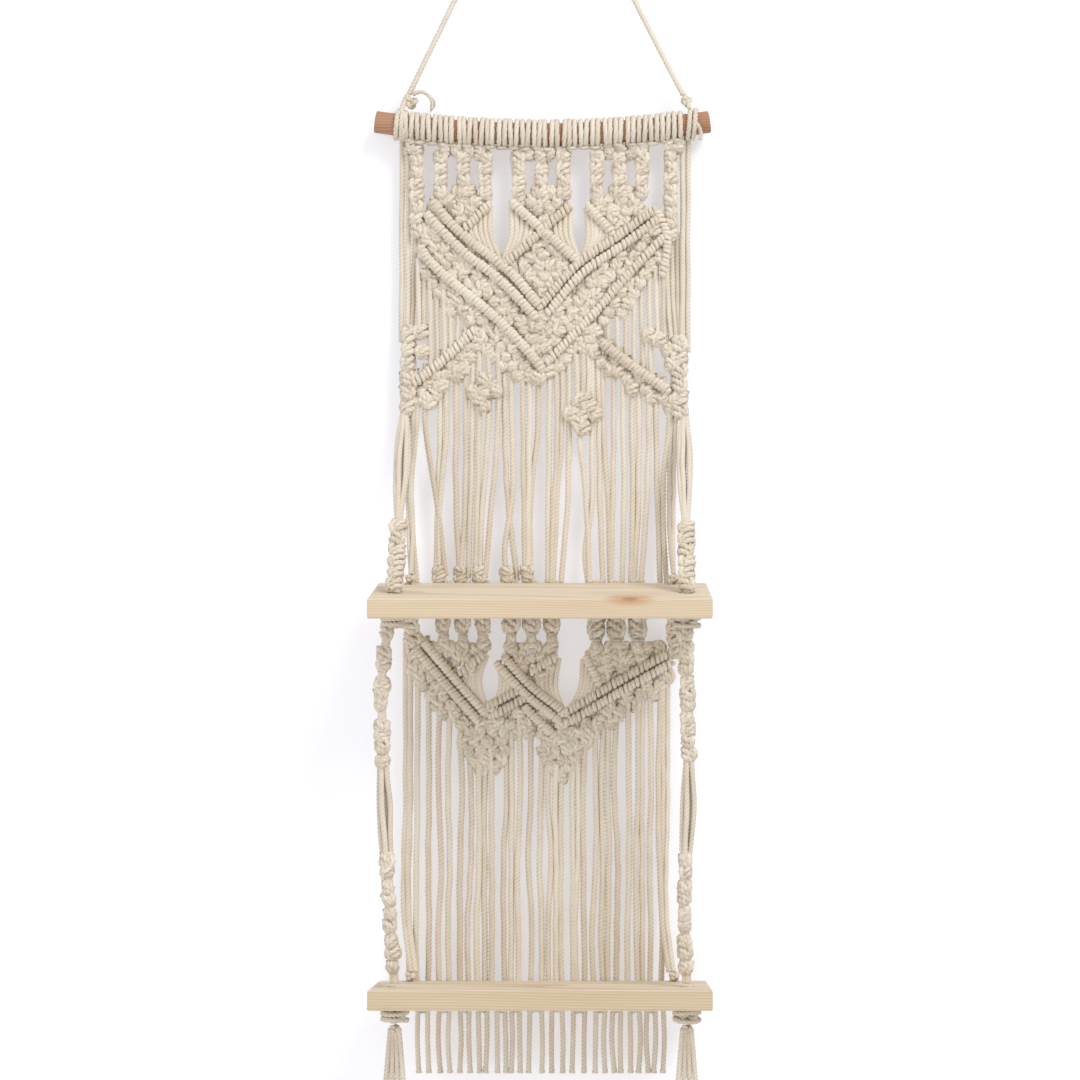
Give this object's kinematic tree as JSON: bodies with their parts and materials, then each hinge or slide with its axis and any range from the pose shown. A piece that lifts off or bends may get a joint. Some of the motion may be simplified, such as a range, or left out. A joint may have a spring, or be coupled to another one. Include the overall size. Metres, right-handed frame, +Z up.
{
  "type": "hanging rope shelf",
  "caption": "Hanging rope shelf: pine boards carried one above another by a knotted cotton panel and side ropes under a wooden dowel, on a cord loop over a hook.",
  "frame": {"origin": "where the hanging cord bears on its hook, in the plane of the hanging cords", "axes": "+Z up, +X to the right of someone facing the shelf, -Y out from the wall towards them; the cords hang in the plane Y = 0 and the wall is just behind it"},
  "size_m": [0.306, 0.1398, 1.1338],
  "materials": {
    "cotton_cord": "natural undyed twisted cotton cord, matt and slightly fuzzy",
    "pine_board": "planed pale pine with fine straight grain and small reddish knots, unvarnished",
    "dowel_wood": "turned reddish brown hardwood, satin"
  },
  "bodies": {
    "hanger": {"hanger_cord": "cotton_cord", "hanger_knot_left": "cotton_cord", "hanger_knot_right": "cotton_cord", "dowel": "dowel_wood", "larks_heads_left": "cotton_cord", "larks_heads_centre": "cotton_cord", "larks_heads_right": "cotton_cord"},
    "panel": {"sinnet_1": "cotton_cord", "sinnet_2": "cotton_cord", "sinnet_3": "cotton_cord", "sinnet_4": "cotton_cord", "sinnet_5": "cotton_cord", "sinnet_6": "cotton_cord", "sinnet_7": "cotton_cord", "sinnet_8": "cotton_cord", "sinnet_9": "cotton_cord", "edge_sinnet_left": "cotton_cord", "edge_sinnet_right": "cotton_cord", "edge_cord_left": "cotton_cord", "edge_cord_right": "cotton_cord", "side_knots_left": "cotton_cord", "side_knots_right": "cotton_cord", "upper_net_left": "cotton_cord", "upper_net_centre": "cotton_cord", "upper_net_right": "cotton_cord", "tail_left": "cotton_cord", "tail_right": "cotton_cord", "bundle_1": "cotton_cord", "bundle_2": "cotton_cord", "bundle_3": "cotton_cord", "bundle_4": "cotton_cord", "bundle_5": "cotton_cord", "bundle_6": "cotton_cord", "bundle_7": "cotton_cord", "bundle_8": "cotton_cord", "bundle_9": "cotton_cord", "edge_bundle_left": "cotton_cord", "edge_bundle_right": "cotton_cord", "upper_side_rope_left": "cotton_cord", "upper_side_rope_right": "cotton_cord", "lower_net": "cotton_cord", "rear_fringe": "cotton_cord"},
    "upper_board": {"upper_board": "pine_board", "front_tie_upper_left": "cotton_cord", "front_tie_upper_right": "cotton_cord", "rear_tie_upper_left": "cotton_cord", "rear_tie_upper_right": "cotton_cord"},
    "lower_ropes": {"lower_side_rope_left": "cotton_cord", "lower_side_rope_right": "cotton_cord"},
    "lower_board": {"lower_board": "pine_board", "front_tie_lower_left": "cotton_cord", "front_tie_lower_right": "cotton_cord", "rear_tie_lower_left": "cotton_cord", "rear_tie_lower_right": "cotton_cord"},
    "front_fringe": {"front_fringe_left": "cotton_cord", "front_fringe_right": "cotton_cord"}
  },
  "joints": [
    {"name": "panel_swing", "type": "hinge", "parent": "hanger", "child": "panel", "pos_m": [0, 0, -0.284], "axis": [-1, 0, 0], "range_deg": [0, 25], "deforming": ["sinnet_1", "sinnet_2", "sinnet_3", "sinnet_4", "sinnet_5", "sinnet_6", "sinnet_7", "sinnet_8", "sinnet_9", "edge_sinnet_left", "edge_sinnet_right", "edge_cord_left", "edge_cord_right"]},
    {"name": "upper_board_lift", "type": "hinge", "parent": "panel", "child": "upper_board", "pos_m": [0, -0.015, -0.67558], "axis": [-1, 0, 0], "range_deg": [0, 30], "deforming": ["upper_side_rope_left", "upper_side_rope_right"]},
    {"name": "lower_board_lift", "type": "hinge", "parent": "panel", "child": "lower_board", "pos_m": [0, -0.01218, -1.03758], "axis": [-1, 0, 0], "range_deg": [0, 35.4]},
    {"name": "lower_ropes_hang", "type": "hinge", "parent": "upper_board", "child": "lower_ropes", "pos_m": [0, -0.07915, -0.72443], "axis": [-1, 0, 0], "range_deg": [-35.4, 0]},
    {"name": "front_fringe_hang", "type": "hinge", "parent": "lower_board", "child": "front_fringe", "pos_m": [0, -0.08368, -1.07207], "axis": [-1, 0, 0], "range_deg": [-35.4, 0]}
  ],
  "couplings": [
    {"joint": "lower_board_lift", "follows": "upper_board_lift", "ratio": 1.18},
    {"joint": "lower_ropes_hang", "follows": "upper_board_lift", "ratio": -1.18},
    {"joint": "front_fringe_hang", "follows": "upper_board_lift", "ratio": -1.18}
  ]
}
